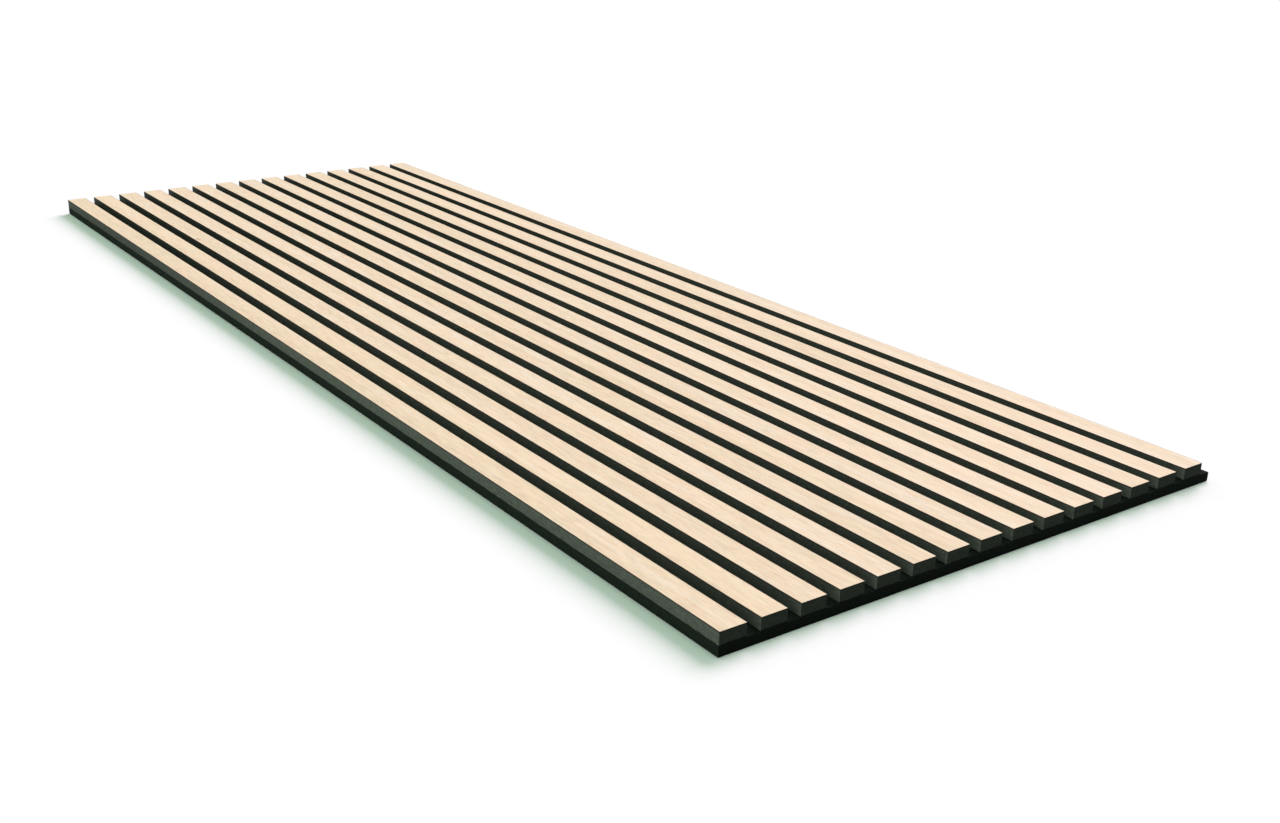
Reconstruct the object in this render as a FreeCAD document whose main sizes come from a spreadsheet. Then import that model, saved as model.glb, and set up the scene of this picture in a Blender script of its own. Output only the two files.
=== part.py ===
"""Acoustic slat wall panel, in millimetres.

Veneered slats lie side by side on one sheet of felt. They are glued down and stapled from behind.
The panel lies as it comes to rest on a floor, with the felt underneath and the veneer on top.
Origin: the centre of the felt's back face. +X across the slats, +Y along them, +Z away from the wall.
The first slat is flush with the felt's -X edge. The felt runs on for one gap beyond the last slat,
so that the slats keep their rhythm where the next panel butts against it.
"""

import FreeCAD
import Part
import Sketcher
import os

# Driving dimensions: alias, value, what it measures
SIZES = (
    ("panel_length", 1650, "felt and slats, end to end"),
    ("slat_count", 15, "slats across the panel"),
    ("slat_width", 27, "one slat, side to side"),
    ("gap_width", 13, "felt showing between two slats"),
    ("felt_thickness", 9.5, "felt, back to front"),
    ("core_thickness", 12, "board under the veneer"),
    ("veneer_thickness", 0.5, "veneer on the board"),
    ("veneer_arris", 0.35, "sanded edge along the veneer's two long sides"),
    ("corner_arris", 0.4, "eased upright corners at a slat's ends"),
    ("staple_rows", 6, "staples along one slat"),
    ("staple_end_distance", 60, "panel's end to the nearest staple"),
    ("staple_crown", 11, "staple's crown, over its legs"),
    ("staple_bite", 4.8, "staple's legs, inside the board"),
    ("staple_point", 0.7, "slant of the chisel point"),
    ("wire_thickness", 0.6, "staple wire, seen from its side"),
    ("wire_width", 1.2, "staple wire, seen from its back"),
    ("crown_sink", 0.3, "felt's back face to the crown's back"),
    ("wire_clearance", 0.05, "room around the wire in felt and board"),
)

# Expressions that several sub-parts share
PITCH = "(Sizes.slat_width + Sizes.gap_width)"
FELT_WIDTH = f"(Sizes.slat_count * {PITCH})"
FIRST_SLAT_X = f"(Sizes.slat_width / 2 - {FELT_WIDTH} / 2)"
FIRST_ROW_Y = "(Sizes.staple_end_distance - Sizes.panel_length / 2)"
SLAT_RUN = f"((Sizes.slat_count - 1) * {PITCH})"
ROW_RUN = "(Sizes.panel_length - 2 * Sizes.staple_end_distance)"
VENEER_ARRIS = "min(Sizes.veneer_arris; 0.8 * Sizes.veneer_thickness)"

GUESS_RADIUS = 10.0


def make_sheet(doc):
    """Writes the driving dimensions into the document's spreadsheet."""
    sheet = doc.addObject("Spreadsheet::Sheet", "Sizes")
    for row, (alias, value, meaning) in enumerate(SIZES, start=1):
        sheet.set(f"A{row}", alias)
        sheet.set(f"B{row}", str(value))
        sheet.set(f"C{row}", meaning)
        sheet.setAlias(f"B{row}", alias)
    doc.recompute()
    return sheet


def make_body(doc, label, place):
    """Adds an empty body whose place is three expressions."""
    body = doc.addObject("PartDesign::Body", label)
    body.Label = label
    for axis, expression in zip("xyz", place):
        body.setExpression(f"Placement.Base.{axis}", expression)
    return body


def origin_feature(body, role):
    """Finds a plane or axis of a body's own origin by its role."""
    return next(f for f in body.Origin.OriginFeatures if f.Role == role)


def guess_point(index, count):
    """Spreads a new outline's corners round a circle, before its dimensions place them."""
    turn = FreeCAD.Rotation(FreeCAD.Vector(0, 0, 1), 360.0 * index / count)
    return turn.multVec(FreeCAD.Vector(GUESS_RADIUS, 0, 0))


def make_outline(body, plane, name, corners):
    """Sketches a closed outline of straight lines, each corner dimensioned from the sketch's origin."""
    sketch = body.newObject("Sketcher::SketchObject", name)
    sketch.AttachmentSupport = [(origin_feature(body, plane), "")]
    sketch.MapMode = "FlatFace"
    count = len(corners)
    for i in range(count):
        line = Part.LineSegment(guess_point(i, count), guess_point(i + 1, count))
        sketch.addGeometry(line)
    for i in range(count):
        sketch.addConstraint(Sketcher.Constraint("Coincident", i, 2, (i + 1) % count, 1))
    for i, corner in enumerate(corners):
        guess = guess_point(i, count)
        for axis, start, expression in zip("XY", guess, corner):
            dimension = Sketcher.Constraint(f"Distance{axis}", -1, 1, i, 1, start)
            number = sketch.addConstraint(dimension)
            sketch.renameConstraint(number, f"corner_{i + 1}_{axis.lower()}")
            sketch.setExpression(f"Constraints.corner_{i + 1}_{axis.lower()}", expression)
    return sketch


def add_pad(body, sketch, length, side="One side"):
    """Pads an outline to a length given as an expression."""
    pad = body.newObject("PartDesign::Pad", f"{body.Name}_pad")
    pad.Profile = sketch
    pad.SideType = side
    pad.setExpression("Length", length)
    return pad


def add_pocket(body, sketch, length):
    """Cuts an outline half its length to each side of the sketch."""
    pocket = body.newObject("PartDesign::Pocket", f"{body.Name}_pocket")
    pocket.Profile = sketch
    pocket.SideType = "Symmetric"
    pocket.setExpression("Length", length)
    return pocket


def add_pattern(body, feature, runs):
    """Repeats a feature along one or two axes; each run is an axis, a length and a count."""
    pattern = body.newObject("PartDesign::LinearPattern", f"{body.Name}_pattern")
    pattern.Originals = [feature]
    for suffix, (axis, length, count) in zip(("", "2"), runs):
        setattr(pattern, f"Direction{suffix}", (origin_feature(body, axis), [""]))
        pattern.setExpression(f"Length{suffix}", length)
        pattern.setExpression(f"Occurrences{suffix}", count)
    body.Tip = pattern
    return pattern


def rectangle(width, length):
    """Corners of a rectangle centred on the sketch's origin."""
    return [
        (f"-{width} / 2", f"-{length} / 2"),
        (f"{width} / 2", f"-{length} / 2"),
        (f"{width} / 2", f"{length} / 2"),
        (f"-{width} / 2", f"{length} / 2"),
    ]


def slat_plan():
    """Corners of a slat seen from above, with its upright corners eased."""
    side, end = "Sizes.slat_width / 2", "Sizes.panel_length / 2"
    near_side, near_end = f"({side} - Sizes.corner_arris)", f"({end} - Sizes.corner_arris)"
    return [
        (f"-{near_side}", f"-{end}"),
        (near_side, f"-{end}"),
        (side, f"-{near_end}"),
        (side, near_end),
        (near_side, end),
        (f"-{near_side}", end),
        (f"-{side}", near_end),
        (f"-{side}", f"-{near_end}"),
    ]


def staple_outline(back, room="0", base="0"):
    """Corners of a staple seen along the slat, with room around its wire.

    back is the height of the crown's back, and base the height that the sketch is measured from.
    """
    outside = f"(Sizes.staple_crown / 2 + {room})"
    inside = f"(Sizes.staple_crown / 2 - Sizes.wire_thickness - {room})"
    crown = f"(Sizes.crown_sink + Sizes.wire_thickness - {base})"
    tip = f"(Sizes.felt_thickness + Sizes.staple_bite + {room} - {base})"
    slant = f"({tip} - Sizes.staple_point)"
    return [
        (f"-{outside}", back),
        (outside, back),
        (outside, tip),
        (inside, slant),
        (inside, crown),
        (f"-{inside}", crown),
        (f"-{inside}", slant),
        (f"-{outside}", tip),
    ]


def staple_slots(body, back, base, first_x, runs):
    """Cuts the staples' way into a body, row by row."""
    outline = staple_outline(back, "Sizes.wire_clearance", base)
    sketch = make_outline(body, "XZ_Plane", f"{body.Name}_staple_way", outline)
    sketch.setExpression("AttachmentOffset.Base.x", first_x)
    sketch.setExpression("AttachmentOffset.Base.z", f"-{FIRST_ROW_Y}")
    pocket = add_pocket(body, sketch, "Sizes.wire_width + 2 * Sizes.wire_clearance")
    add_pattern(body, pocket, runs)


def make_felt(doc):
    """The felt sheet, slotted where the staples pass through it."""
    body = make_body(doc, "acoustic_felt", ("0", "0", "0"))
    plan = make_outline(body, "XY_Plane", "felt_plan", rectangle(FELT_WIDTH, "Sizes.panel_length"))
    add_pad(body, plan, "Sizes.felt_thickness")
    runs = (
        ("X_Axis", SLAT_RUN, "Sizes.slat_count"),
        ("Y_Axis", ROW_RUN, "Sizes.staple_rows"),
    )
    staple_slots(body, "-Sizes.wire_thickness", "0", FIRST_SLAT_X, runs)
    return body


def slat_place(index, height):
    """Place of a slat's middle on the felt, counted from the flush edge."""
    return (f"{FIRST_SLAT_X} + {index} * {PITCH}", "0", height)


def make_core(doc, index):
    """One board slat, with the holes that its staples make from below."""
    name = f"slat_core_{index + 1:02d}"
    body = make_body(doc, name, slat_place(index, "Sizes.felt_thickness"))
    plan = make_outline(body, "XY_Plane", f"{name}_plan", slat_plan())
    add_pad(body, plan, "Sizes.core_thickness")
    runs = (("Y_Axis", ROW_RUN, "Sizes.staple_rows"),)
    staple_slots(body, "-Sizes.felt_thickness", "Sizes.felt_thickness", "0", runs)
    return body


def long_top_edges(shape):
    """Names of the two long edges along the top of a slat's veneer."""
    top = shape.BoundBox.ZMax
    longest = max(edge.Length for edge in shape.Edges)
    found = []
    for number, edge in enumerate(shape.Edges, start=1):
        box = edge.BoundBox
        on_top = abs(box.ZMin - top) < Part.Precision.confusion()
        if on_top and abs(edge.Length - longest) < Part.Precision.confusion():
            found.append(f"Edge{number}")
    return found


def make_veneer(doc, index):
    """One veneer strip on its slat, with its two long edges sanded."""
    name = f"slat_veneer_{index + 1:02d}"
    height = "Sizes.felt_thickness + Sizes.core_thickness"
    body = make_body(doc, name, slat_place(index, height))
    plan = make_outline(body, "XY_Plane", f"{name}_plan", slat_plan())
    pad = add_pad(body, plan, "Sizes.veneer_thickness")
    doc.recompute()
    arris = body.newObject("PartDesign::Chamfer", f"{name}_arris")
    arris.Base = (pad, long_top_edges(pad.Shape))
    arris.setExpression("Size", VENEER_ARRIS)
    return body


def make_staples(doc):
    """All the staples, one solid each, in rows along every slat."""
    body = make_body(doc, "staples", (FIRST_SLAT_X, FIRST_ROW_Y, "0"))
    outline = staple_outline("Sizes.crown_sink")
    sketch = make_outline(body, "XZ_Plane", "staple_shape", outline)
    pad = add_pad(body, sketch, "Sizes.wire_width", "Symmetric")
    runs = (
        ("X_Axis", SLAT_RUN, "Sizes.slat_count"),
        ("Y_Axis", ROW_RUN, "Sizes.staple_rows"),
    )
    add_pattern(body, pad, runs)
    return body


def check_document(doc, bodies):
    """Stops if any feature failed or any sub-part is empty or not valid."""
    for item in doc.Objects:
        if "Invalid" in item.State or "Error" in item.State:
            raise RuntimeError(f"{item.Name} failed: {item.State}")
    for body in bodies:
        if body.Shape.isNull() or not body.Shape.isValid() or not body.Shape.Solids:
            raise RuntimeError(f"{body.Label} has no valid solid")


def main():
    """Builds the panel's document and writes one STEP file for each sub-part."""
    doc = FreeCAD.newDocument("acoustic_slat_wall_panel")
    sheet = make_sheet(doc)
    slats = range(int(sheet.slat_count))
    bodies = [make_felt(doc)]
    bodies += [make_core(doc, index) for index in slats]
    bodies += [make_veneer(doc, index) for index in slats]
    bodies.append(make_staples(doc))
    doc.recompute()
    check_document(doc, bodies)
    os.makedirs("parts", exist_ok=True)
    for body in bodies:
        body.Shape.exportStep(os.path.join("parts", f"{body.Label}.step"))
        size = body.Shape.BoundBox
        print(body.Label, len(body.Shape.Solids), "solids", len(body.Shape.Faces), "faces",
              [round(v, 3) for v in (size.XLength, size.YLength, size.ZLength)],
              round(body.Shape.Volume, 3))


main()
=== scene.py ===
"""Dresses an acoustic slat wall panel and lays it on a white studio floor.

Pale veneer strips face black board slats, which lie side by side on a sheet of black felt. Staples
hold the slats from behind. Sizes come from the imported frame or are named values, in metres.
"""

import logging
import math
from dataclasses import dataclass
from enum import Enum
from functools import partial, reduce
from typing import Any, Union

import bpy
import numpy as np
from mathutils import Matrix, Vector, noise


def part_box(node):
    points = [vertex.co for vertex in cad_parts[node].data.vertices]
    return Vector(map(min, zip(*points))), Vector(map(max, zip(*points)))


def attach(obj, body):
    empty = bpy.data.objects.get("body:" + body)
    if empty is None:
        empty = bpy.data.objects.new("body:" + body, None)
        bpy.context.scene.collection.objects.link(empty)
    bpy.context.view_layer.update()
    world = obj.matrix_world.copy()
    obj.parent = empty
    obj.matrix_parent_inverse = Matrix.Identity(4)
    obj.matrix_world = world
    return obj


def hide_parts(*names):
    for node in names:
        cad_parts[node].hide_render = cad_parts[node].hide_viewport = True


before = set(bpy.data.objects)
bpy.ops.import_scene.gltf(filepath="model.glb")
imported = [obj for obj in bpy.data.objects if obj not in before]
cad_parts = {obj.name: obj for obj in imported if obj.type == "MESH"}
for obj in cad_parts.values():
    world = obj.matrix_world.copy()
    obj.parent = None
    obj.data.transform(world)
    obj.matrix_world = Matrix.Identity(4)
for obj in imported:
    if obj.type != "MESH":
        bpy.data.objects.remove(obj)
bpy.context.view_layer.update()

LOG = logging.getLogger("slat_panel")
MM = 0.001
BODY = "root"
SQUARE_ON = 0.9
MICRON_DIGITS = 6
NOISE_MIDDLE = 0.5

Colour = tuple[float, float, float]
Size = tuple[float, float, float]
Span = tuple[float, float]
Operand = Union["Value", float]
Place = tuple["Value", "Value", "Value"]
Spot = tuple[Operand, Operand, Operand]


class Slot(Enum):
    """The record's material slots."""

    FELT = "felt"
    BOARD = "black_board"
    VENEER = "veneer"
    WIRE = "staple_wire"


class Input(Enum):
    """Kinds of named input that a shape's tree can have."""

    LENGTH = "NodeSocketFloat"
    COUNT = "NodeSocketInt"
    PLACE = "NodeSocketVector"


class Value:
    """A number socket of a node tree. Arithmetic on it adds Math nodes."""

    def __init__(self, graph: "Graph", socket: bpy.types.NodeSocket) -> None:
        """Wraps a socket of a graph."""
        self.graph = graph
        self.socket = socket

    def __add__(self, other: Operand) -> "Value":
        """Adds a number or another value."""
        return self.graph.math("ADD", self, other)

    __radd__ = __add__

    def __mul__(self, other: Operand) -> "Value":
        """Multiplies by a number or another value."""
        return self.graph.math("MULTIPLY", self, other)

    __rmul__ = __mul__

    def __sub__(self, other: Operand) -> "Value":
        """Takes away a number or another value."""
        return self.graph.math("SUBTRACT", self, other)

    def __rsub__(self, other: Operand) -> "Value":
        """Takes this value away from a number."""
        return self.graph.math("SUBTRACT", other, self)

    def __truediv__(self, other: Operand) -> "Value":
        """Divides by a number or another value."""
        return self.graph.math("DIVIDE", self, other)

    def __rtruediv__(self, other: Operand) -> "Value":
        """Divides a number by this value."""
        return self.graph.math("DIVIDE", other, self)

    def __gt__(self, other: Operand) -> "Value":
        """Is 1 where this value is the greater one, and else 0."""
        return self.graph.math("GREATER_THAN", self, other)

    def __lt__(self, other: Operand) -> "Value":
        """Is 1 where this value is the lesser one, and else 0."""
        return self.graph.math("LESS_THAN", self, other)

    def __abs__(self) -> "Value":
        """The value without its sign."""
        return self.graph.math("ABSOLUTE", self)

    def centred(self) -> "Value":
        """A noise with its middle moved to 0."""
        return self - NOISE_MIDDLE

    def ease(self, start: float, end: float) -> "Value":
        """Goes smoothly from 0 to 1.

        Args:
            start: Where it is 0.
            end: Where it is 1, which may be below the start.

        Returns:
            The eased value.
        """
        span = {"interpolation_type": "SMOOTHSTEP"}
        sockets = {"Value": self, "From Min": min(start, end), "From Max": max(start, end)}
        if start > end:
            sockets |= {"To Min": 1.0, "To Max": 0.0}
        return Value(self.graph, self.graph.node("ShaderNodeMapRange", span, sockets).outputs["Result"])


class Graph:
    """Builds one node tree: a material's, the world's or a shape's."""

    def __init__(self, tree: bpy.types.NodeTree) -> None:
        """Starts on a tree."""
        self.tree = tree

    def node(self, kind: str, settings: dict[str, Any] | None = None,
             sockets: dict[str | int, Any] | None = None) -> bpy.types.Node:
        """Adds a node of any kind.

        Args:
            kind: The node's type.
            settings: Its own settings, which are set first.
            sockets: A number, a colour or a link for each input, by the input's name or number.

        Returns:
            The new node.
        """
        made = self.tree.nodes.new(kind)
        for name, setting in (settings or {}).items():
            setattr(made, name, setting)
        for key, given in (sockets or {}).items():
            given = given.socket if isinstance(given, Value) else given
            if isinstance(given, bpy.types.NodeSocket):
                self.tree.links.new(given, made.inputs[key])
            else:
                made.inputs[key].default_value = given
        return made

    def math(self, operation: str, *operands: Operand) -> Value:
        """Adds a Math node and returns its result."""
        made = self.node("ShaderNodeMath", {"operation": operation}, dict(enumerate(operands)))
        return Value(self, made.outputs[0])

    def vector(self, x: Operand, y: Operand, z: Operand) -> bpy.types.NodeSocket:
        """Joins three values into a vector."""
        return self.node("ShaderNodeCombineXYZ", sockets={0: x, 1: y, 2: z}).outputs[0]

    def parts(self, vector: bpy.types.NodeSocket) -> Place:
        """Takes a vector apart into its three values."""
        split = self.node("ShaderNodeSeparateXYZ", sockets={0: vector})
        return tuple(Value(self, socket) for socket in split.outputs)


class ShaderGraph(Graph):
    """Builds a material's or the world's shader."""

    def noise(self, place: bpy.types.NodeSocket, detail: float = 2.0) -> Value:
        """Noise with features one unit of the place across."""
        sockets = {"Vector": place, "Scale": 1.0, "Detail": detail}
        return Value(self, self.node("ShaderNodeTexNoise", sockets=sockets).outputs["Fac"])

    def speckle(self, spot: Spot, size: Size, detail: float) -> Value:
        """Noise with features of a size along each axis."""
        return self.noise(self.vector(*(part / length for part, length in zip(spot, size))), detail)

    def mix(self, share: Operand, first: Any, second: Any) -> bpy.types.NodeSocket:
        """Mixes two colours, from the first at a share of 0 to the second at 1."""
        sockets = {0: share, 6: opaque(first), 7: opaque(second)}
        return self.node("ShaderNodeMix", {"data_type": "RGBA"}, sockets).outputs[2]

    def shade(self, colour: Any, factor: Operand) -> bpy.types.NodeSocket:
        """Makes a colour lighter or darker by a factor."""
        sockets = {"Vector": colour, "Scale": factor}
        return self.node("ShaderNodeVectorMath", {"operation": "SCALE"}, sockets).outputs[0]

    def bump(self, height: Value, depth: float, strength: float) -> bpy.types.NodeSocket:
        """A normal that follows a height between 0 and 1, of that depth in metres."""
        sockets = {"Height": height, "Distance": depth, "Strength": strength}
        return self.node("ShaderNodeBump", sockets=sockets).outputs["Normal"]

    def place(self) -> Place:
        """The point's own place on the panel."""
        return self.parts(self.node("ShaderNodeTexCoord").outputs["Object"])

    def facing(self) -> Place:
        """The way that the face looks, before any bump."""
        return self.parts(self.node("ShaderNodeNewGeometry").outputs["True Normal"])

    def surface(self, sockets: dict[str | int, Any], kind: str = "ShaderNodeBsdfPrincipled") -> None:
        """Ends the tree with one shader on the material's surface."""
        shader = self.node(kind, sockets=sockets)
        self.node("ShaderNodeOutputMaterial", sockets={"Surface": shader.outputs[0]})


class ShapeGraph(Graph):
    """Builds a Geometry Nodes tree that shapes pieces from a base mesh and named inputs."""

    def __init__(self, name: str) -> None:
        """Starts a tree that takes a mesh in and gives a shape out.

        Args:
            name: The tree's name.
        """
        super().__init__(bpy.data.node_groups.new(name, "GeometryNodeTree"))
        self.keys: dict[str, str] = {}
        face = self.tree.interface
        face.new_socket("Shape", in_out="OUTPUT", socket_type="NodeSocketGeometry")
        face.new_socket("Base", in_out="INPUT", socket_type="NodeSocketGeometry")

    def base(self) -> bpy.types.NodeSocket:
        """The base mesh that the tree starts from."""
        return self.node("NodeGroupInput").outputs["Base"]

    def inputs(self, *names: str, kind: Input = Input.LENGTH) -> list[Value]:
        """Adds named inputs to the tree.

        Args:
            names: The inputs' names.
            kind: What they hold.

        Returns:
            Their values in the tree.
        """
        for name in names:
            socket = self.tree.interface.new_socket(name, in_out="INPUT", socket_type=kind.value)
            self.keys[name] = socket.identifier
        given = self.node("NodeGroupInput").outputs
        return [Value(self, given[name]) for name in names]

    def place(self) -> Place:
        """The point's own place."""
        return self.parts(self.node("GeometryNodeInputPosition").outputs[0])

    def facing(self) -> Place:
        """The way that the face looks."""
        return self.parts(self.node("GeometryNodeInputNormal").outputs[0])

    def finish(self, shape: bpy.types.NodeSocket, coats: list[tuple[Any, bpy.types.Material]]) -> None:
        """Realizes a shape, puts its materials on and gives it out.

        Args:
            shape: The geometry to give out.
            coats: Where each material goes, as a selection, and the material. Later ones cover earlier.
        """
        last = self.node("GeometryNodeRealizeInstances", sockets={"Geometry": shape}).outputs[0]
        for where, material in coats:
            sockets = {"Geometry": last, "Selection": where, "Material": material}
            last = self.node("GeometryNodeSetMaterial", sockets=sockets).outputs[0]
        self.node("NodeGroupOutput", sockets={0: last})

    def make(self, name: str, base: bpy.types.Mesh, inputs: dict[str, Any]) -> bpy.types.Object:
        """Shapes one piece and leaves it as a plain mesh.

        Args:
            name: The piece's name.
            base: The mesh that goes into the tree.
            inputs: A value for each named input.

        Returns:
            The piece, with no modifier left on it.
        """
        piece = add_object(name, base)
        modifier = piece.modifiers.new(self.tree.name, "NODES")
        modifier.node_group = self.tree
        for key, given in inputs.items():
            modifier[self.keys[key]] = given
        shaped = piece.evaluated_get(bpy.context.evaluated_depsgraph_get())
        piece.data = bpy.data.meshes.new_from_object(shaped)
        piece.data.name = name
        piece.modifiers.clear()
        return piece


def opaque(colour: Any) -> Any:
    """Gives a plain colour its alpha, and leaves a link as it is."""
    return (*colour, 1.0) if isinstance(colour, tuple) else colour


def add_object(name: str, data: bpy.types.ID) -> bpy.types.Object:
    """Puts data into the scene as an object at the origin.

    Args:
        name: The object's name.
        data: Its mesh, light or camera.

    Returns:
        The object.
    """
    made = bpy.data.objects.new(name, data)
    bpy.context.scene.collection.objects.link(made)
    return made


def add_mesh(name: str, points: Any, edges: Any = (), faces: Any = ()) -> bpy.types.Mesh:
    """Makes a mesh.

    Args:
        name: The mesh's name.
        points: Its points.
        edges: Pairs of points, for a bare line.
        faces: Rings of points.

    Returns:
        The mesh.
    """
    mesh = bpy.data.meshes.new(name)
    mesh.from_pydata(points, edges, faces)
    mesh.update()
    return mesh


@dataclass(frozen=True)
class Layout:
    """Where the panel's pieces lie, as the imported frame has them."""

    left: float
    right: float
    near: float
    far: float
    felt_thickness: float
    board_top: float
    slat_width: float
    pitch: float
    slats: int

    @classmethod
    def from_frame(cls) -> "Layout":
        """Reads the layout from the CAD nodes' boxes.

        Returns:
            The layout.
        """
        low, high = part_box("acoustic_felt")
        first, first_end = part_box("slat_core_01")
        second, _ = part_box("slat_core_02")
        slats = sum(name.startswith("slat_core_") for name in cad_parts)
        return cls(left=low.x, right=high.x, near=low.y, far=high.y, felt_thickness=high.z,
                   board_top=first_end.z, slat_width=first_end.x - first.x,
                   pitch=second.x - first.x, slats=slats)

    def slat_middle(self, number: int) -> float:
        """Middle of a slat across the panel, counted from 0 at the flush edge."""
        return self.left + self.slat_width / 2 + number * self.pitch


@dataclass(frozen=True)
class Finish:
    """A finish that paints its own material."""

    label: str

    def paint(self, graph: ShaderGraph) -> None:
        """Builds the finish's shader."""
        raise NotImplementedError

    def material(self) -> bpy.types.Material:
        """Makes the finish's material.

        Returns:
            The material.
        """
        made = bpy.data.materials.new(self.label)
        made.use_nodes = True
        made.node_tree.nodes.clear()
        self.paint(ShaderGraph(made.node_tree))
        return made


@dataclass(frozen=True)
class Knot:
    """A pin knot in a veneer strip."""

    slat: int
    across: float
    along: float
    radius: float


@dataclass(frozen=True)
class Grain:
    """Noise of one size in a finish, with what is drawn from it.

    Attributes:
        size: Size of its features along each axis.
        detail: How many finer layers it has.
        start: Level of the noise at which its marks begin.
        full: Level at which the marks show fully.
        share: How strongly the marks colour the surface.
        swing: How far the noise moves what it acts on, such as the lightness, up and down.
        relief: How far it stands up in the surface's bump.
    """

    size: Size
    detail: float = 2.0
    start: float = 0.0
    full: float = 1.0
    share: float = 1.0
    swing: float = 0.0
    relief: float = 0.0

    def level(self, graph: ShaderGraph, spot: Spot) -> Value:
        """The noise at a spot, about a half on average."""
        return graph.speckle(spot, self.size, self.detail)

    def marks(self, level: Value) -> Value:
        """Goes from 0, where the noise is low, to 1 on the marks."""
        return level.ease(self.start, self.full)

    def sway(self, level: Value) -> Value:
        """How far the noise moves what it acts on, up or down."""
        return level.centred() * self.swing


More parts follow.
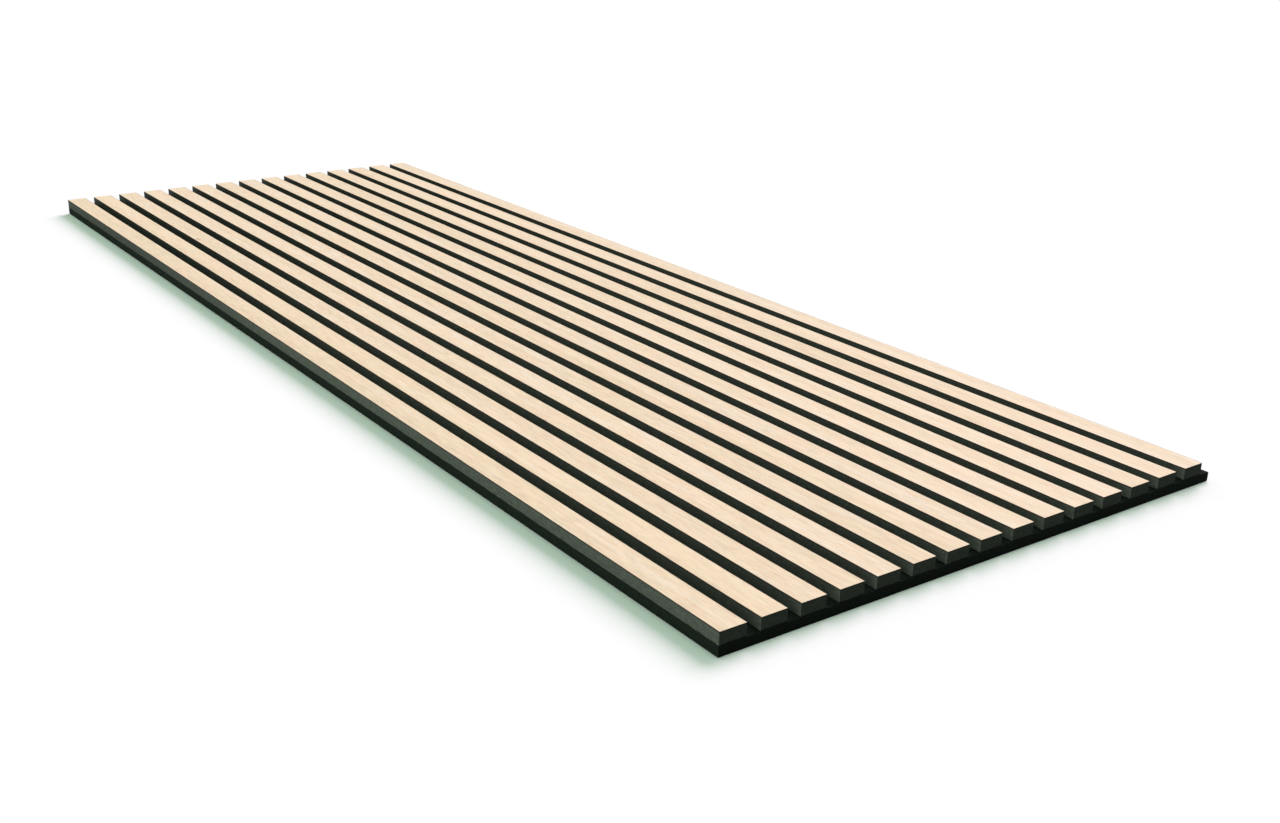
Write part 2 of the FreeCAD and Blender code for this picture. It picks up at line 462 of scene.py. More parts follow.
@dataclass(frozen=True)
class VeneerFinish(Finish):
    """Pale straight-grained veneer under a matt lacquer."""

    layout: Layout
    knots: tuple[Knot, ...]
    cream: Colour = (0.862, 0.705, 0.493)
    pale: Colour = (0.860, 0.744, 0.605)
    rose: Colour = (0.872, 0.677, 0.489)
    straw: Colour = (0.836, 0.695, 0.487)
    latewood: Colour = (0.720, 0.508, 0.318)
    knot_brown: Colour = (0.360, 0.220, 0.125)
    stain: Colour = (0.034, 0.026, 0.018)
    stain_reach: float = 0.68 * MM
    stain_blur: float = 0.15
    drift: float = 9 * MM
    drift_length: float = 0.35
    drift_spread: float = 60.0
    knot_stretch: float = 2.4
    knot_core: float = 0.2
    knot_share: float = 0.5
    slat_edge: float = 0.1
    slat_depth: float = 400.0
    slat_paleness: float = 0.55
    slat_swing: float = 0.035
    least_tone: float = 0.35
    light: float = 0.980
    lightest: float = 1.04
    roughness: float = 0.56
    figure_rough: float = 0.20
    pore_rough: float = 0.10
    creep: Grain = Grain((20 * MM, 12 * MM, 1.0), 3.0, swing=0.5 * MM)
    broad: Grain = Grain((13 * MM, 0.90, 1.0), 1.0, start=0.36, full=0.64, share=0.45, swing=0.18)
    tone: Grain = Grain((8 * MM, 0.13, 1.0), start=0.40, full=0.62)
    blush: Grain = Grain((2.8 * MM, 0.050, 1.0), start=0.42, full=0.62, share=0.9)
    figure: Grain = Grain((2.8 * MM, 0.022, 1.0), 3.0, swing=0.44)
    line: Grain = Grain((1.0 * MM, 0.140, 1.0), start=0.50, full=0.74, share=0.26, relief=0.4)
    fibre: Grain = Grain((0.22 * MM, 0.014, 1.0), swing=0.12, relief=0.6)
    fleck: Grain = Grain((1.1 * MM, 0.009, 1.0), 1.0, start=0.54, full=0.74, share=0.36)
    pore: Grain = Grain((0.3 * MM, 0.005, 1.0), 0.0, start=0.66, full=0.80, share=0.12, relief=-0.5)

    def streaks(self, graph: ShaderGraph, place: Place, grain: Grain) -> Value:
        """Noise drawn out along the slat, different on every slat.

        Args:
            graph: The shader.
            place: Place across the panel with its drift, place along it, and the slat's own depth.
            grain: The streaks' size.

        Returns:
            The streaks, between 0 and 1.
        """
        across, along, depth = place
        layer = grain.size[0] / MM
        return grain.level(graph, (across, along, depth + layer))

    def knot_mask(self, graph: ShaderGraph, x: Value, y: Value) -> Value:
        """Is 1 in the middle of each pin knot and fades along the grain.

        Args:
            graph: The shader.
            x: Place across the panel.
            y: Place along the panel.

        Returns:
            The knots, between 0 and 1.
        """
        masks = []
        for knot in self.knots:
            across = (x - (self.layout.slat_middle(knot.slat) + knot.across)) / knot.radius
            along = (y - (self.layout.near + knot.along)) / (knot.radius * self.knot_stretch)
            masks.append(graph.math("SQRT", across * across + along * along).ease(1.0, self.knot_core))
        return sum(masks[1:], masks[0])

    def stained(self, graph: ShaderGraph, x: Value, y: Value, number: Value) -> Value:
        """Is 1 along both edges of a slat, where the black of the sides has crept over.

        Args:
            graph: The shader.
            x: Place across the panel.
            y: Place along the panel.
            number: The slat's number.

        Returns:
            The stain, between 0 and 1.
        """
        middle = number * self.layout.pitch + self.layout.slat_middle(0)
        inset = self.layout.slat_width / 2 - abs(x - middle)
        creep = self.creep.sway(self.creep.level(graph, (x, y, 0.0)))
        blur = self.stain_reach * self.stain_blur
        return (inset + creep).ease(self.stain_reach + blur, self.stain_reach - blur)

    def paint(self, graph: ShaderGraph) -> None:
        """Cream wood with soft streaks, fine lines, flecks, pores and a few pin knots.

        Args:
            graph: The shader to build.
        """
        x, y, _ = graph.place()
        number = graph.math("FLOOR", (x - self.layout.left) / self.layout.pitch + self.slat_edge)
        half_on = number + 0.5
        by_slat = graph.node("ShaderNodeTexWhiteNoise", {"noise_dimensions": "1D"}, {"W": half_on})
        pick, paleness, brightness = graph.parts(by_slat.outputs["Color"])
        course = graph.vector(pick * self.drift_spread, y / self.drift_length, 0.0)
        drift = graph.noise(course, 1.0) * self.drift
        place = (x + drift, y, pick * self.slat_depth)
        soft = (self.broad, self.tone, self.blush, self.figure)
        broad, tone, blush, figure = (self.streaks(graph, place, grain) for grain in soft)
        fine = (self.line, self.fibre, self.fleck, self.pore)
        lines, fibres, flecks, pores = (self.streaks(graph, place, grain) for grain in fine)
        pores = self.pore.marks(pores)
        paler = paleness * self.slat_paleness + self.broad.marks(broad) * self.broad.share
        colour = graph.mix(paler, self.cream, self.pale)
        toned = self.tone.marks(tone) * (self.least_tone + pick * (1 - self.least_tone))
        colour = graph.mix(toned, colour, self.straw)
        colour = graph.mix(self.blush.marks(blush) * self.blush.share, colour, self.rose)
        dark = (self.line.marks(lines) * self.line.share + self.fleck.marks(flecks) * self.fleck.share
                + pores * self.pore.share)
        colour = graph.mix(dark, colour, self.latewood)
        light = (self.light + brightness.centred() * self.slat_swing + self.broad.sway(broad)
                 + self.figure.sway(figure) + self.fibre.sway(fibres))
        colour = graph.shade(colour, graph.math("MINIMUM", light, self.lightest))
        colour = graph.mix(self.knot_mask(graph, x, y) * self.knot_share, colour, self.knot_brown)
        colour = graph.mix(self.stained(graph, x, y, number), colour, self.stain)
        relief = lines * self.line.relief + fibres * self.fibre.relief + pores * self.pore.relief
        graph.surface({
            "Base Color": colour,
            "Roughness": self.roughness + figure.centred() * self.figure_rough + pores * self.pore_rough,
            "Specular IOR Level": 0.10,
            "Normal": graph.bump(relief, depth=0.15 * MM, strength=0.20),
        })


@dataclass(frozen=True)
class VeneerEdgeFinish(Finish):
    """The veneer's cut edge, darkened by the stain on the board's sides."""

    stain: Colour = (0.030, 0.022, 0.015)
    wood: Colour = (0.130, 0.085, 0.050)
    roughness: float = 0.60
    patch_rough: float = 0.20
    patch: Grain = Grain((2 * MM, 9 * MM, 1 * MM), 3.0, start=0.45, full=0.75)

    def paint(self, graph: ShaderGraph) -> None:
        """Dark brown, patchy along the edge.

        Args:
            graph: The shader to build.
        """
        patches = self.patch.level(graph, graph.place())
        graph.surface({
            "Base Color": graph.mix(self.patch.marks(patches), self.stain, self.wood),
            "Roughness": self.roughness + patches * self.patch_rough,
            "Specular IOR Level": 0.25,
        })


@dataclass(frozen=True)
class BoardFinish(Finish):
    """Black fibreboard coloured right through: satin long sides, dull sawn ends and eased corners, with
    painted light on the long sides and corners and painted shade on the ends.
    """

    bottom: float
    top: float
    # Painted light and shade: the long sides are painted lighter, the sawn ends darker, and the eased
    # corners lighter as a painted highlight.
    side: Colour = (0.1120, 0.1330, 0.1055)
    end: Colour = (0.0189, 0.0236, 0.0186)
    corner: Colour = (0.085, 0.092, 0.079)
    fleck: Colour = (0.130, 0.146, 0.122)
    end_facing: Span = (0.5, 0.95)
    lit_corner_facing: Span = (0.3, 0.45)
    skin: float = 1.1 * MM
    skin_dark: float = 0.35
    end_skin_dark: float = 0.40
    # Painted shade: a darker band along the board's foot, where it sits on the felt.
    foot_shade_band: float = 1.2 * MM
    foot_shade_blur: float = 0.25
    foot_shade_dark: float = 0.82
    wander: float = 1.2 * MM
    # Painted shade: the boards grow darker towards the far end.
    far_shade_run: Span = (-0.15, 0.60)
    far_shade_depth: float = 0.36
    light: float = 0.97
    end_calm: float = 0.30
    end_bare: float = 0.8
    roughness: float = 0.58
    end_rough: float = 0.25
    mottle_rough: float = 0.25
    mottle: Grain = Grain((5 * MM, 7 * MM, 3 * MM), 3.0, swing=0.92)
    bundle: Grain = Grain((1.0 * MM, 1.5 * MM, 0.6 * MM), 5.0, start=0.28, full=0.72, swing=0.62)
    fibre: Grain = Grain((0.5 * MM, 1.4 * MM, 0.4 * MM), start=0.54, full=0.76, share=0.6, swing=0.42,
                         relief=0.6)
    saw_mark: Grain = Grain((0.5 * MM, 20 * MM, 30 * MM), 1.0, relief=0.4)

    def paint(self, graph: ShaderGraph) -> None:
        """Mottled black with flecks and a dense skin, painted lighter on the long sides and corners, with
        painted shade on the ends, along the foot and towards the far end.

        Args:
            graph: The shader to build.
        """
        place = graph.place()
        to_side, to_end, _ = (abs(part) for part in graph.facing())
        ends = to_end.ease(*self.end_facing)
        corners = (to_side * to_end).ease(*self.lit_corner_facing)
        grains = (self.mottle, self.bundle, self.fibre, self.saw_mark)
        mottle, bundles, fibres, saw = (grain.level(graph, place) for grain in grains)
        # Painted light and shade: lit long sides, shaded ends, and a painted highlight on the eased
        # corners.
        colour = graph.mix(corners, graph.mix(ends, self.side, self.end), self.corner)
        flecks = self.fibre.marks(fibres) * (1 - ends * self.end_bare) * self.fibre.share
        colour = graph.mix(flecks, colour, self.fleck)
        height = place[2] + mottle.centred() * self.wander
        skin = height.ease(self.top - self.skin, self.top) * (self.skin_dark + ends * self.end_skin_dark)
        # Painted shade along the board's foot, just above the felt.
        foot_shade_top, blur = self.bottom + self.foot_shade_band, self.foot_shade_band * self.foot_shade_blur
        foot_shaded = height.ease(foot_shade_top + blur, foot_shade_top - blur) * self.foot_shade_dark
        # Painted shade: darker towards the far end.
        far_shaded = 1 - place[1].ease(*self.far_shade_run) * self.far_shade_depth
        bundled = self.bundle.marks(bundles).centred() * (self.bundle.swing - ends * self.end_calm)
        light = self.light + self.mottle.sway(mottle) + self.fibre.sway(fibres) + bundled
        relief = fibres * self.fibre.relief + saw * ends * self.saw_mark.relief
        graph.surface({
            "Base Color": graph.shade(colour, light * far_shaded * (1 - skin) * (1 - foot_shaded)),
            "Roughness": self.roughness + ends * self.end_rough + mottle.centred() * self.mottle_rough,
            "Specular IOR Level": 0.03,
            "Normal": graph.bump(relief, depth=0.2 * MM, strength=0.35),
        })


@dataclass(frozen=True)
class FeltFinish(Finish):
    """Needle-punched black felt: matted fibres with a few greyer ones, lightest on its long edges, where
    the colour is painted lighter and greener; the cut ends and the top face are painted darker, as shade.
    """

    black: Colour = (0.0132, 0.0209, 0.0151)
    grey: Colour = (0.0650, 0.0890, 0.0720)
    # Painted shade: a darker, neutral copy of the felt's colours for its top face.
    top_shade_black: Colour = (0.0096, 0.0118, 0.0100)
    top_shade_grey: Colour = (0.0450, 0.0550, 0.0480)
    fibre_length: float = 2.6 * MM
    fibre_width: float = 0.30 * MM
    layer_depth: float = 0.45 * MM
    layer_spread: float = 9.0
    turns: tuple[float, ...] = (0.3, 1.35, 2.4)
    grey_fibres: Span = (0.58, 0.82)
    fibre_relief: float = 0.7
    curl_reach: float = 8 * MM
    curl_shift: float = 0.12
    square_facing: Span = (0.5, 0.9)
    # Painted shade: how much darker the cut ends are painted.
    end_shade_dark: float = 0.80
    roughness: float = 0.85
    clump_rough: float = 0.12
    curl: Grain = Grain((4 * MM, 4 * MM, 4 * MM), 1.0)
    clump: Grain = Grain((6 * MM, 6 * MM, 3 * MM), 3.0, swing=0.8, relief=0.3)

    def fibres(self, graph: ShaderGraph, place: Place, turn: float) -> Value:
        """One layer of fibres, which lie in the sheet at an angle.

        Args:
            graph: The shader.
            place: Place across and along the panel, with the fibres' curl, and height in the sheet.
            turn: The angle that the layer lies at.

        Returns:
            The fibres, between 0 and 1.
        """
        x, y, z = place
        along = x * math.cos(turn) + y * math.sin(turn)
        across = y * math.cos(turn) - x * math.sin(turn)
        depth = z / self.layer_depth + turn * self.layer_spread
        return graph.noise(graph.vector(along / self.fibre_length, across / self.fibre_width, depth))

    def paint(self, graph: ShaderGraph) -> None:
        """Black with a tangle of fine curled fibres and a soft sheen, painted darker on the ends and the
        top face as shade.

        Args:
            graph: The shader to build.
        """
        x, y, z = graph.place()
        curl_x = self.curl.level(graph, (x, y, z)) * self.curl_reach
        curl_y = self.curl.level(graph, (y, x, z + self.curl_shift)) * self.curl_reach
        curled = (x + curl_x, y + curl_y, z)
        layers = (self.fibres(graph, curled, turn) for turn in self.turns)
        tangle = reduce(partial(graph.math, "MAXIMUM"), layers)
        clumps = self.clump.level(graph, (x, y, z))
        _, to_end, upright = (abs(part).ease(*self.square_facing) for part in graph.facing())
        greyer = tangle.ease(*self.grey_fibres)
        # Painted light and shade: the sides keep the lighter, greener colour, the top face a darker neutral
        # copy, and the cut ends are painted darker still.
        cut = graph.mix(greyer, self.black, self.grey)
        face = graph.mix(greyer, self.top_shade_black, self.top_shade_grey)
        light = (1 + self.clump.sway(clumps)) * (1 - to_end * self.end_shade_dark)
        relief = tangle * self.fibre_relief + clumps * self.clump.relief
        graph.surface({
            "Base Color": graph.shade(graph.mix(upright, cut, face), light),
            "Roughness": self.roughness + clumps * self.clump_rough,
            "Specular IOR Level": 0.03,
            "Sheen Weight": 0.006,
            "Sheen Roughness": 0.5,
            "Normal": graph.bump(relief, depth=0.5 * MM, strength=0.6),
        })


@dataclass(frozen=True)
class NapFinish(FeltFinish):
    """The felt's loose fibres, which catch more light than the sheet."""

    black: Colour = (0.062, 0.074, 0.065)
    grey: Colour = (0.150, 0.170, 0.155)
    # Painted shade: the neutral copy for fibres that stand on the top face.
    top_shade_black: Colour = (0.062, 0.066, 0.063)
    top_shade_grey: Colour = (0.150, 0.156, 0.151)


@dataclass(frozen=True)
class WireFinish(Finish):
    """Galvanised staple wire."""

    zinc: Colour = (0.560, 0.570, 0.580)
    dull: Colour = (0.330, 0.340, 0.350)
    roughness: float = 0.28
    patch_rough: float = 0.30
    patch: Grain = Grain((1.6 * MM, 1.2 * MM, 1.6 * MM), 3.0, start=0.4, full=0.7)

    def paint(self, graph: ShaderGraph) -> None:
        """Zinc with duller patches.

        Args:
            graph: The shader to build.
        """
        patches = self.patch.level(graph, graph.place())
        graph.surface({
            "Base Color": graph.mix(self.patch.marks(patches), self.zinc, self.dull),
            "Metallic": 1.0,
            "Roughness": self.roughness + patches * self.patch_rough,
        })


@dataclass(frozen=True)
class FloorFinish(Finish):
    """Plain white studio floor."""

    white: Colour = (0.98, 0.98, 0.98)

    def paint(self, graph: ShaderGraph) -> None:
        """A matt white."""
        graph.surface({"Color": opaque(self.white)}, "ShaderNodeBsdfDiffuse")


@dataclass
class VeneerStrips:
    """The veneer strips on the faces of the slats."""

    layout: Layout
    arris: float = 0.35 * MM
    arris_steps: int = 2
    corner: float = 0.4 * MM
    lengths: int = 16
    rows: int = 8
    row_share: float = 0.93
    bands: int = 4
    margin: float = 0.04

    def shape(self, face: bpy.types.Material, edge: bpy.types.Material) -> ShapeGraph:
        """Builds the tree that runs a strip's section along the slat.

        Args:
            face: Material of the face.
            edge: Material of the sanded edges and the cut ends.

        Returns:
            The tree.
        """
        graph = ShapeGraph("veneer_strip")
        width, thickness, arris, corner = graph.inputs("Width", "Thickness", "Arris", "Corner")
        reach, middle = graph.inputs("Reach", "Middle")
        [steps] = graph.inputs("Arris Steps", kind=Input.COUNT)
        section = graph.node("GeometryNodeCurvePrimitiveQuadrilateral",
                             sockets={"Width": width, "Height": thickness}).outputs[0]
        # The place is read twice: on the section's points for the arris, on the strip's for its corners.
        x, y, _ = graph.place()
        section = graph.node("GeometryNodeFilletCurve", {"mode": "POLY"}, {
            "Curve": section, "Count": steps, "Radius": arris * (y < 0.0)}).outputs[0]
        line = graph.node("GeometryNodeMeshToCurve", sockets={"Mesh": graph.base()}).outputs[0]
        strip = graph.node("GeometryNodeCurveToMesh", sockets={
            "Curve": line, "Profile Curve": section, "Fill Caps": True}).outputs[0]
        inwards = graph.math("SIGN", middle - x) * corner
        strip = graph.node("GeometryNodeSetPosition", sockets={
            "Geometry": strip, "Selection": abs(y) > reach - corner / 2,
            "Offset": graph.vector(inwards, 0.0, 0.0)}).outputs[0]
        strip = graph.node("GeometryNodeSetShadeSmooth", sockets={
            "Geometry": strip, "Shade Smooth": False}).outputs[0]
        _, _, up = graph.facing()
        graph.finish(strip, [(True, edge), (abs(up) > SQUARE_ON, face)])
        return graph

    def map_place(self, facing: Vector, row: int, spot: np.ndarray) -> Span:
        """Finds a point's place on the map: the face in rows, and the rest in narrow bands above them.

        Args:
            facing: The way that the point's face looks.
            row: The row that its stretch of the strip goes in.
            spot: Where the point is across, along and up the strip, each between 0 and 1.

        Returns:
            The place on the map.
        """
        across, along, rise = spot
        inside = 1 - 2 * self.margin
        inset_across, inset_rise = (self.margin + part * inside for part in (across, rise))
        if facing.z > SQUARE_ON:
            return along * self.rows - row, (row + inset_across) * self.row_share / self.rows
        band = (1 - self.row_share) / self.bands
        if abs(facing.y) > SQUARE_ON:
            return (across + (facing.y > 0)) / 2, self.row_share + band * inset_rise
        if facing.z < -SQUARE_ON:
            return along, self.row_share + band * (1 + inset_across)
        return along, self.row_share + band * (2 + (facing.x > 0) + inset_rise)

    def unfold(self, mesh: bpy.types.Mesh) -> None:
        """Gives a strip a map on which a square picture shows its grain finely.

        Args:
            mesh: The strip.
        """
        layer = mesh.uv_layers.new(name="OFBake")
        points = np.array([vertex.co for vertex in mesh.vertices])
        spots = (points - points.min(axis=0)) / np.ptp(points, axis=0)
        for face in mesh.polygons:
            corners = [mesh.loops[loop].vertex_index for loop in face.loop_indices]
            row = int(spots[corners, 1].mean() * self.rows)
            for loop, corner in zip(face.loop_indices, corners):
                layer.data[loop].uv = self.map_place(face.normal, row, spots[corner])

    def build(self, face: bpy.types.Material, edge: bpy.types.Material) -> list[bpy.types.Object]:
        """Makes one strip for each slat.

        Args:
            face: Material of the face.
            edge: Material of the edges.

        Returns:
            The strips, from the flush edge on.
        """
        graph = self.shape(face, edge)
        strips = []
        for number in range(self.layout.slats):
            node = f"slat_veneer_{number + 1:02d}"
            low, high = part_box(node)
            middle = (low + high) / 2
            even = np.linspace(low.y, high.y, self.lengths + 1)
            stops = np.sort([*even, low.y + self.corner, high.y - self.corner])
            path = [(middle.x, stop, middle.z) for stop in stops]
            line = add_mesh(f"{node}_line", path, [(stop, stop + 1) for stop in range(len(stops) - 1)])
            strip = graph.make(f"veneer_strip_{number + 1:02d}", line, {
                "Width": high.x - low.x, "Thickness": high.z - low.z, "Arris": self.arris,
                "Arris Steps": self.arris_steps, "Corner": self.corner, "Reach": high.y,
                "Middle": middle.x})
            self.unfold(strip.data)
            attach(strip, BODY)
            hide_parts(node)
            strips.append(strip)
        return strips


@dataclass
class BoardSlats:
    """The black boards under the veneer, which keep their CAD shape."""

    layout: Layout

    def dress(self, board: bpy.types.Material) -> list[bpy.types.Object]:
        """Gives each board its finish.

        Args:
            board: The boards' material.

        Returns:
            The boards, from the flush edge on.
        """
        boards = []
        for number in range(self.layout.slats):
            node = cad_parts[f"slat_core_{number + 1:02d}"]
            for slot in node.material_slots:
                slot.material = board
            boards.append(node)
        return boards


@dataclass
class Staples:
    """Rows of staples, driven from behind through the felt into the boards."""

    layout: Layout
    rows: int = 6
    wire_width: float = 1.2 * MM
    wire_thickness: float = 0.6 * MM
    bend: float = 0.55 * MM
    bend_steps: int = 3
    point: float = 0.7 * MM

    def __post_init__(self) -> None:
        """Reads what the staples' node fixes."""
        self.low, self.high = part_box("staples")
        self.run = (self.layout.slats - 1) * self.layout.pitch
        self.row_run = self.high.y - self.low.y - self.wire_width
        self.crown = self.high.x - self.low.x - self.run

    def columns(self) -> np.ndarray:
        """Middles of the crowns across the panel."""
        first = self.low.x + self.crown / 2
        return first + np.arange(self.layout.slats) * self.layout.pitch

    def row_places(self) -> np.ndarray:
        """Middles of the crowns along the panel."""
        first = self.low.y + self.wire_width / 2
        return first + np.linspace(0.0, self.row_run, self.rows)

    def shape(self, wire: bpy.types.Material) -> ShapeGraph:
        """Builds the tree that gives one bent wire its section and repeats it.

        Args:
            wire: The wire's material.

        Returns:
            The tree.
        """
        graph = ShapeGraph("staple_rows")
        width, thickness, bend, point = graph.inputs("Wire Width", "Wire Thickness", "Bend", "Point")
        tip, outside, run, row_run = graph.inputs("Tip", "Outside", "Run", "Row Run")
        steps, columns, rows = graph.inputs("Bend Steps", "Columns", "Rows", kind=Input.COUNT)
        [middle] = graph.inputs("Middle", kind=Input.PLACE)
        line = graph.node("GeometryNodeMeshToCurve", sockets={"Mesh": graph.base()}).outputs[0]
        line = graph.node("GeometryNodeFilletCurve", {"mode": "POLY"}, {
            "Curve": line, "Count": steps, "Radius": bend}).outputs[0]
        section = graph.node("GeometryNodeCurvePrimitiveQuadrilateral",
                             sockets={"Width": thickness, "Height": width}).outputs[0]
        staple = graph.node("GeometryNodeCurveToMesh", sockets={
            "Curve": line, "Profile Curve": section, "Fill Caps": True}).outputs[0]
        x, _, z = graph.place()
        slant = (abs(x) - outside) / thickness * point
        just_below = 0.01 * MM
        staple = graph.node("GeometryNodeSetPosition", sockets={
            "Geometry": staple, "Selection": z > tip - just_below,
            "Offset": graph.vector(0.0, 0.0, slant)}).outputs[0]
        grid = graph.node("GeometryNodeMeshGrid", sockets={
            "Size X": run, "Size Y": row_run, "Vertices X": columns, "Vertices Y": rows}).outputs[0]
        grid = graph.node("GeometryNodeTransform", sockets={
            "Geometry": grid, "Translation": middle}).outputs[0]
        field = graph.node("GeometryNodeInstanceOnPoints", sockets={
            "Points": grid, "Instance": staple}).outputs[0]
        graph.finish(field, [(True, wire)])
        return graph

    def build(self, wire: bpy.types.Material) -> bpy.types.Object:
        """Makes all the staples as one piece.

        Args:
            wire: The wire's material.

        Returns:
            The piece.
        """
        half = (self.crown - self.wire_thickness) / 2
        crown = self.low.z + self.wire_thickness / 2
        path = [(-half, 0, self.high.z), (-half, 0, crown), (half, 0, crown), (half, 0, self.high.z)]
        line = add_mesh("staple_line", path, [(0, 1), (1, 2), (2, 3)])
        middle = (self.low + self.high) / 2
        piece = self.shape(wire).make("staple_rows", line, {
            "Wire Width": self.wire_width, "Wire Thickness": self.wire_thickness, "Bend": self.bend,
            "Bend Steps": self.bend_steps, "Point": self.point, "Tip": self.high.z,
            "Outside": self.crown / 2, "Columns": self.layout.slats, "Rows": self.rows, "Run": self.run,
            "Row Run": self.row_run, "Middle": (middle.x, middle.y, 0.0)})
        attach(piece, BODY)
        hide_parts("staples")
        return piece


@dataclass
class FeltBacking:
    """The felt sheet under the slats, with the nap that stands up where it is bare."""

    layout: Layout
    staples: Staples
    edge_roll: float = 0.4 * MM
    across_step: float = 3.0 * MM
    along_step: float = 25.0 * MM
    dent_depth: float = 0.62 * MM
    dent_reach: float = 7.5 * MM
    dent_flatness: int = 4
    dent_width: float = 3.0 * MM
    dent_roundness: int = 2
    dent_lines: int = 5
    dent_span: float = 2.0
    unevenness: float = 0.15 * MM
    wave_across: float = 20 * MM
    wave_along: float = 60 * MM
    crease: float = math.radians(40.0)
    nap_length: float = 1.9 * MM
    nap_radius: float = 0.045 * MM
    nap_on_edges: float = 3.0e5
    nap_on_ends: float = 8.0e4
    nap_in_gaps: float = 1.2e4
    nap_shortest: float = 0.4
    nap_lean: float = 1.25
    nap_curl: float = 0.7
    nap_clearance: float = 1.3
    nap_seed: int = 7

    def lines(self, low: float, high: float, step: float, extra: np.ndarray) -> np.ndarray:
        """Places of the sheet's mesh lines in one direction.

        Args:
            low: The sheet's lower edge.
            high: Its upper edge.
            step: Space between lines.
            extra: Places of further lines.

        Returns:
            The places, in order.
        """
        even = np.linspace(low, high, round((high - low) / step) + 1)
        rolled = np.array([low + self.edge_roll, high - self.edge_roll])
        return np.unique(np.concatenate([even, rolled, extra]).round(MICRON_DIGITS))

    def bare(self, x: np.ndarray) -> np.ndarray:
        """Is 1 where the felt shows in front, between slats and on the lip, and else 0."""
        return (((x - self.layout.left) % self.layout.pitch) > self.layout.slat_width).astype(float)

    def rolled(self, x: np.ndarray, y: np.ndarray) -> np.ndarray:
        """How far the sheet's edge is rolled off at each point of the mesh."""
        edges = ((x, self.layout.left), (x, self.layout.right), (y, self.layout.near), (y, self.layout.far))
        return np.any([np.isclose(places, edge) for places, edge in edges], axis=0) * self.edge_roll

    def dents(self, x: np.ndarray, y: np.ndarray) -> np.ndarray:
        """How deep the staples pull the sheet's back in, flat along the crowns and round across them.

        Args:
            x: The points' places across the panel.
            y: Their places along it.

        Returns:
            The depth at each point.
        """
        columns, rows = self.staples.columns(), self.staples.row_places()
        across = sum(np.exp(-(((x - place) / self.dent_reach) ** self.dent_flatness)) for place in columns)
        along = sum(np.exp(-(((y - place) / self.dent_width) ** self.dent_roundness)) for place in rows)
        return self.dent_depth * across * along

    def waves(self, x: np.ndarray, y: np.ndarray) -> np.ndarray:
        """How far the bare felt swells or sinks at each point of the mesh."""
        places = zip(x / self.wave_across, y / self.wave_along, np.zeros_like(x))
        return self.unevenness * np.array([noise.noise(Vector(place)) for place in places]) * self.bare(x)

    def sheet(self) -> bpy.types.Mesh:
        """Makes the sheet's mesh: a front, a back and the cut edge between them.

        Returns:
            The mesh.
        """
        steps = np.arange(-self.dent_lines, self.dent_lines + 1) / self.dent_lines
        around = steps * self.dent_span * self.dent_width
        beside = (self.staples.row_places()[:, None] + around[None, :]).ravel()
        xs = self.lines(self.layout.left, self.layout.right, self.across_step, np.array([]))
        ys = self.lines(self.layout.near, self.layout.far, self.along_step, beside)
        x, y = (part.ravel() for part in np.meshgrid(xs, ys))
        roll = self.rolled(x, y)
        swell = self.waves(x, y) * (roll == 0)
        front = np.stack([x, y, self.layout.felt_thickness - roll + swell], axis=1)
        back = np.stack([x, y, roll + self.dents(x, y)], axis=1)
        index = np.arange(len(x)).reshape(len(ys), len(xs))
        corners = [index[:-1, :-1], index[:-1, 1:], index[1:, 1:], index[1:, :-1]]
        quads = np.stack(corners, axis=-1).reshape(-1, 4)
        rim = np.concatenate([index[0, :-1], index[:-1, -1], index[-1, :0:-1], index[:0:-1, 0]])
        after = np.roll(rim, -1)
        count = len(x)
        wall = np.stack([rim + count, after + count, after, rim], axis=1)
        faces = np.concatenate([quads, quads[:, ::-1] + count, wall])
        return add_mesh("felt_sheet", np.concatenate([front, back]).tolist(), faces=faces.tolist())

    def nap_shape(self, coat: bpy.types.Material) -> ShapeGraph:
        """Builds the tree that scatters bent fibres over the felt's bare faces.

        Args:
            coat: The fibres' material.

        Returns:
            The tree.
        """
        graph = ShapeGraph("felt_nap")
        length, radius, on_edges = graph.inputs("Fibre Length", "Fibre Radius", "Density on Edges")
        on_ends, in_gaps = graph.inputs("Density on Ends", "Density in Gaps")
        [seed] = graph.inputs("Seed", kind=Input.COUNT)
        x, _, height = graph.place()
        sideways, endways, up = graph.facing()
        slats = (x - self.layout.left) / self.layout.pitch
        gap = graph.math("FRACT", slats) > self.layout.slat_width / self.layout.pitch
        density = ((abs(sideways) > SQUARE_ON) * on_edges + (abs(endways) > SQUARE_ON) * on_ends
                   + (up > SQUARE_ON) * gap * in_gaps)
        points = graph.node("GeometryNodeDistributePointsOnFaces", {"distribute_method": "RANDOM"}, {
            "Mesh": graph.base(), "Density": density, "Seed": seed})
        fibre = graph.node("GeometryNodeMeshCone", {"fill_type": "NGON"}, {
            "Vertices": 3, "Side Segments": 2, "Radius Top": 0.0, "Radius Bottom": radius,
            "Depth": length}).outputs["Mesh"]
        _, _, along = graph.place()
        curl = along * along / length * self.nap_curl
        fibre = graph.node("GeometryNodeSetPosition", sockets={
            "Geometry": fibre, "Offset": graph.vector(curl, 0.0, 0.0)}).outputs[0]
        most = self.nap_lean
        lean = graph.node("FunctionNodeRandomValue", {"data_type": "FLOAT_VECTOR"}, {
            0: (-most, -most, 0.0), 1: (most, most, math.tau), "Seed": seed}).outputs[0]
        tilt = graph.node("FunctionNodeEulerToRotation", sockets={0: lean}).outputs[0]
        turn = graph.node("FunctionNodeRotateRotation", {"rotation_space": "LOCAL"}, {
            "Rotation": points.outputs["Rotation"], "Rotate By": tilt}).outputs[0]
        size = graph.node("FunctionNodeRandomValue", {"data_type": "FLOAT"}, {
            2: self.nap_shortest, 3: 1.0, "Seed": seed}).outputs[1]
        room = graph.math("MINIMUM", Value(graph, size), height / (length * self.nap_clearance))
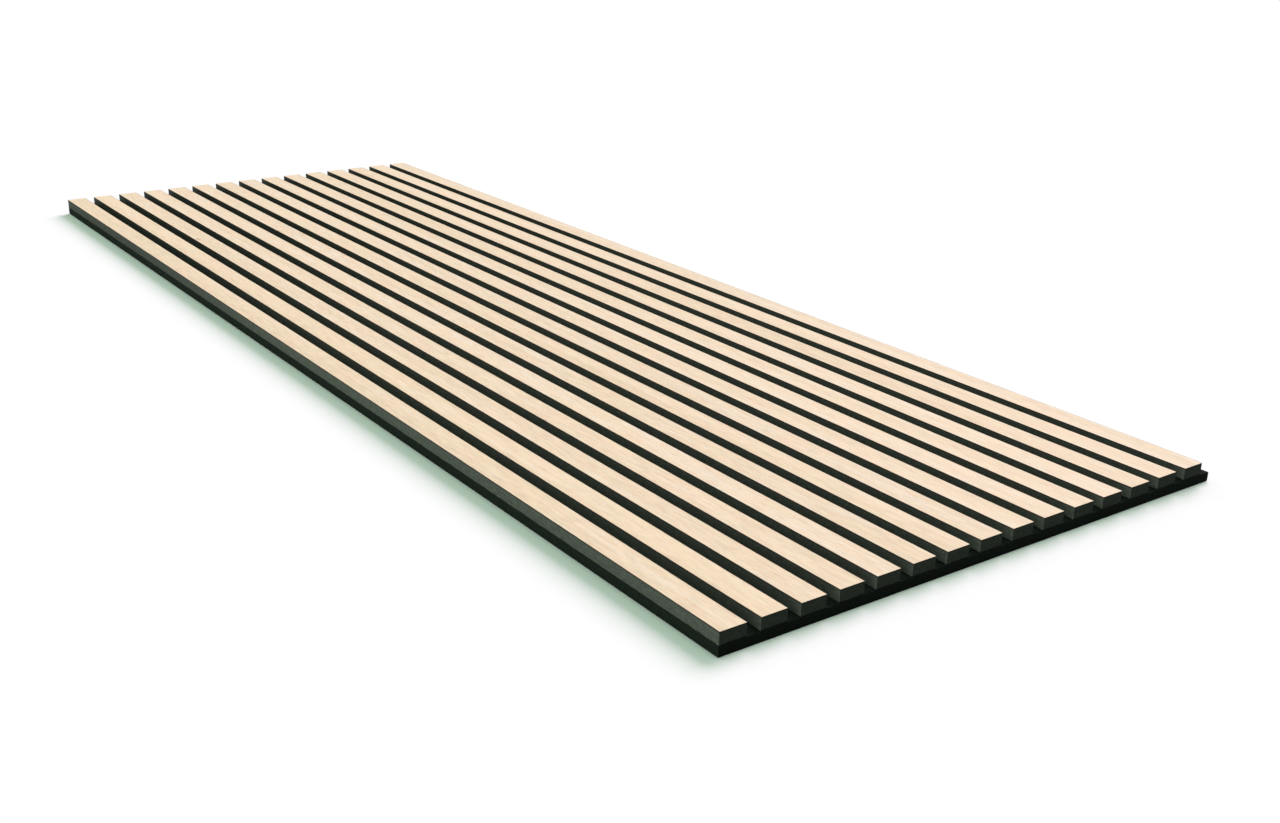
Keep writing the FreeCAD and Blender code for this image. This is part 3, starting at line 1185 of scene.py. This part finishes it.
        nap = graph.node("GeometryNodeInstanceOnPoints", sockets={
            "Points": points.outputs["Points"], "Instance": fibre, "Rotation": turn,
            "Scale": graph.vector(room, room, room)}).outputs[0]
        graph.finish(nap, [(True, coat)])
        return graph

    def build(self, felt: bpy.types.Material, fibre: bpy.types.Material) -> list[bpy.types.Object]:
        """Makes the sheet and its nap.

        Args:
            felt: The sheet's material.
            fibre: The nap's material.

        Returns:
            The sheet and the nap.
        """
        mesh = self.sheet()
        mesh.materials.append(felt)
        sheet = add_object("felt_sheet", mesh)
        nap = self.nap_shape(fibre).make("felt_nap", mesh, {
            "Fibre Length": self.nap_length, "Fibre Radius": self.nap_radius, "Seed": self.nap_seed,
            "Density on Edges": self.nap_on_edges, "Density on Ends": self.nap_on_ends,
            "Density in Gaps": self.nap_in_gaps})
        mesh.shade_smooth()
        mesh.set_sharp_from_angle(angle=self.crease)
        for piece in (sheet, nap):
            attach(piece, BODY)
        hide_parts("acoustic_felt")
        return [sheet, nap]


@dataclass(frozen=True)
class Lamp:
    """A broad lamp far off."""

    label: str
    light: Colour
    bearing: float
    height: float
    spread: float

    def hang(self) -> None:
        """Puts the lamp up, so strong that a level floor gets its light."""
        strength = max(self.light)
        lamp = bpy.data.lights.new(self.label, "SUN")
        lamp.color = [part / strength for part in self.light]
        lamp.energy = strength * math.pi / math.sin(self.height)
        lamp.angle = self.spread
        flat = math.cos(self.height)
        towards = Vector((math.cos(self.bearing) * flat, math.sin(self.bearing) * flat,
                          math.sin(self.height)))
        hung = add_object(self.label, lamp)
        hung.rotation_mode = "QUATERNION"
        hung.rotation_quaternion = towards.to_track_quat("Z", "Y")


@dataclass
class Studio:
    """White floor, soft light and the camera that looks along the slats."""

    layout: Layout
    floor_half: float = 40.0
    floor_drop: float = 0.2 * MM
    level: float = 1.037
    white: Colour = (1.0, 1.0, 1.0)
    sky: Colour = (0.38, 0.38, 0.38)
    fill: Colour = (0.12, 0.24, 0.14)
    key_bearing: float = math.radians(24.0)
    key_height: float = math.radians(40.0)
    key_spread: float = math.radians(40.0)
    fill_bearing: float = math.radians(225.0)
    fill_height: float = math.radians(82.0)
    fill_spread: float = math.radians(40.0)
    lens: float = 41.57
    sensor: float = 36.0
    camera_from_corner: Size = (-0.612, -0.737, 0.558)
    yaw: float = math.radians(-36.03)
    pitch: float = math.radians(69.14)
    roll: float = math.radians(1.20)

    def add_floor(self, white: bpy.types.Material) -> None:
        """Lays the floor under the panel.

        Args:
            white: The floor's material.
        """
        half, drop = self.floor_half, -self.floor_drop
        corners = [(-half, -half, drop), (half, -half, drop), (half, half, drop), (-half, half, drop)]
        mesh = add_mesh("studio_floor", corners, faces=[(0, 1, 2, 3)])
        mesh.materials.append(white)
        add_object("studio_floor", mesh)

    def add_light(self) -> None:
        """Hangs a key lamp over the lip's side and a weaker fill overhead, in an even surround."""
        key = tuple(self.level - sky - fill for sky, fill in zip(self.sky, self.fill))
        Lamp("soft_key", key, self.key_bearing, self.key_height, self.key_spread).hang()
        Lamp("soft_fill", self.fill, self.fill_bearing, self.fill_height, self.fill_spread).hang()
        world = bpy.data.worlds.new("studio")
        world.use_nodes = True
        world.node_tree.nodes.clear()
        graph = ShaderGraph(world.node_tree)
        path = graph.node("ShaderNodeLightPath")
        kinds = ("Is Camera Ray", "Is Glossy Ray", "Is Transmission Ray")
        camera, glossy, through = (Value(graph, path.outputs[kind]) for kind in kinds)
        seen = graph.math("MINIMUM", camera + glossy + through, 1.0)
        light = graph.node("ShaderNodeBackground", sockets={"Color": opaque(self.sky)}).outputs[0]
        backdrop = graph.node("ShaderNodeBackground", sockets={"Color": opaque(self.white)}).outputs[0]
        both = graph.node("ShaderNodeMixShader", sockets={0: seen, 1: light, 2: backdrop}).outputs[0]
        graph.node("ShaderNodeOutputWorld", sockets={"Surface": both})
        bpy.context.scene.world = world

    def add_camera(self) -> None:
        """Stands the camera off the near flush corner."""
        data = bpy.data.cameras.new("camera")
        data.sensor_width = self.sensor
        data.lens = self.lens
        camera = add_object("camera", data)
        turn = Matrix.Rotation(self.yaw, 4, "Z") @ Matrix.Rotation(self.pitch, 4, "X")
        turn = turn @ Matrix.Rotation(self.roll, 4, "Z")
        corner = Vector((self.layout.left, self.layout.near, 0.0))
        camera.matrix_world = Matrix.Translation(corner + Vector(self.camera_from_corner)) @ turn
        bpy.context.scene.camera = camera

    def build(self) -> None:
        """Sets the studio up."""
        self.add_floor(FloorFinish("studio_white").material())
        self.add_light()
        self.add_camera()
        bpy.context.scene.view_settings.view_transform = "Standard"


KNOTS = (
    Knot(slat=2, across=-9.0 * MM, along=1.306, radius=4.0 * MM),
    Knot(slat=5, across=-11.5 * MM, along=1.293, radius=2.5 * MM),
    Knot(slat=6, across=-12.5 * MM, along=1.278, radius=2.5 * MM),
    Knot(slat=3, across=-12.0 * MM, along=0.432, radius=2.2 * MM),
    Knot(slat=5, across=-12.5 * MM, along=0.407, radius=1.8 * MM),
    Knot(slat=0, across=12.0 * MM, along=0.455, radius=1.6 * MM),
    Knot(slat=10, across=-12.0 * MM, along=0.103, radius=1.6 * MM),
)


def main() -> None:
    """Builds and dresses the panel piece by piece, then the studio."""
    logging.basicConfig(level=logging.INFO, format="%(name)s: %(message)s")
    layout = Layout.from_frame()
    staples = Staples(layout)
    face = VeneerFinish("pale_veneer", layout, KNOTS).material()
    edge = VeneerEdgeFinish("veneer_edge").material()
    pieces = VeneerStrips(layout).build(face, edge)
    board = BoardFinish("black_board", layout.felt_thickness, layout.board_top).material()
    pieces += BoardSlats(layout).dress(board)
    felt = FeltFinish("black_felt").material()
    fibre = NapFinish("felt_fibre").material()
    pieces += FeltBacking(layout, staples).build(felt, fibre)
    pieces.append(staples.build(WireFinish("galvanised_wire").material()))
    Studio(layout).build()
    for piece in pieces:
        LOG.info("%s has %d faces", piece.name, len(piece.data.polygons))


if __name__ == "__main__":
    main()
